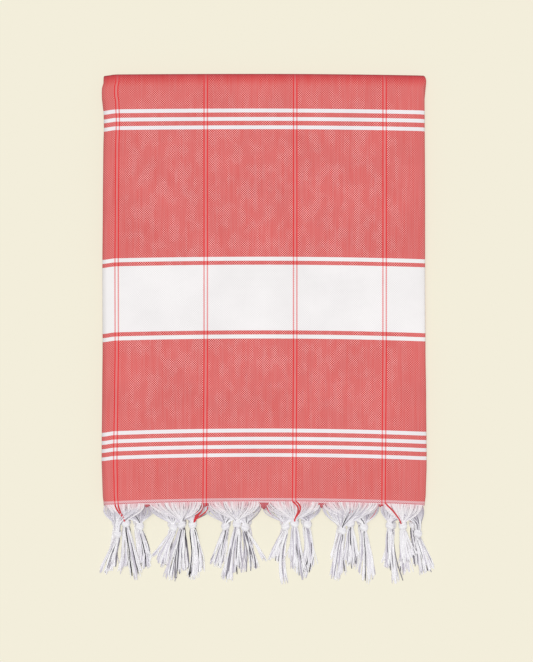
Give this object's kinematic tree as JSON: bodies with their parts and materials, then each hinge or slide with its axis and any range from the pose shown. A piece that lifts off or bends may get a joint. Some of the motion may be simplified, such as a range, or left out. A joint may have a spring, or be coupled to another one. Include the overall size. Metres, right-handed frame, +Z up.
{
  "type": "folded peshtemal towel",
  "caption": "Flat-woven striped cotton towel folded flat into a rectangle, with knotted tassels of its own warp ends along the near edge.",
  "frame": {"origin": "centre of the folded cloth's flat underside, the tassels left out", "axes": "+Z up out of the shown face, +Y from the tassels towards the folded edge, +X to the right of the shown face"},
  "size_m": [0.3418, 0.522, 0.0172],
  "materials": {
    "striped_cotton": "matte",
    "cotton_yarn": "matte"
  },
  "bodies": {
    "root": {"cloth": "striped_cotton", "tassel_upper_face_1": "cotton_yarn", "tassel_upper_face_2": "cotton_yarn", "tassel_upper_face_3": "cotton_yarn", "tassel_upper_face_4": "cotton_yarn", "tassel_upper_face_5": "cotton_yarn", "tassel_upper_face_6": "cotton_yarn", "tassel_upper_inner_1": "cotton_yarn", "tassel_upper_inner_2": "cotton_yarn", "tassel_upper_inner_3": "cotton_yarn", "tassel_upper_inner_4": "cotton_yarn", "tassel_upper_inner_5": "cotton_yarn", "tassel_upper_inner_6": "cotton_yarn", "tassel_upper_under_1": "cotton_yarn", "tassel_upper_under_2": "cotton_yarn", "tassel_upper_under_3": "cotton_yarn", "tassel_upper_under_4": "cotton_yarn", "tassel_upper_under_5": "cotton_yarn", "tassel_upper_under_6": "cotton_yarn", "tassel_lower_face_1": "cotton_yarn", "tassel_lower_face_2": "cotton_yarn", "tassel_lower_face_3": "cotton_yarn", "tassel_lower_face_4": "cotton_yarn", "tassel_lower_face_5": "cotton_yarn", "tassel_lower_face_6": "cotton_yarn", "tassel_lower_inner_1": "cotton_yarn", "tassel_lower_inner_2": "cotton_yarn", "tassel_lower_inner_3": "cotton_yarn", "tassel_lower_inner_4": "cotton_yarn", "tassel_lower_inner_5": "cotton_yarn", "tassel_lower_inner_6": "cotton_yarn", "tassel_lower_under_1": "cotton_yarn", "tassel_lower_under_2": "cotton_yarn", "tassel_lower_under_3": "cotton_yarn", "tassel_lower_under_4": "cotton_yarn", "tassel_lower_under_5": "cotton_yarn", "tassel_lower_under_6": "cotton_yarn"}
  },
  "joints": []
}
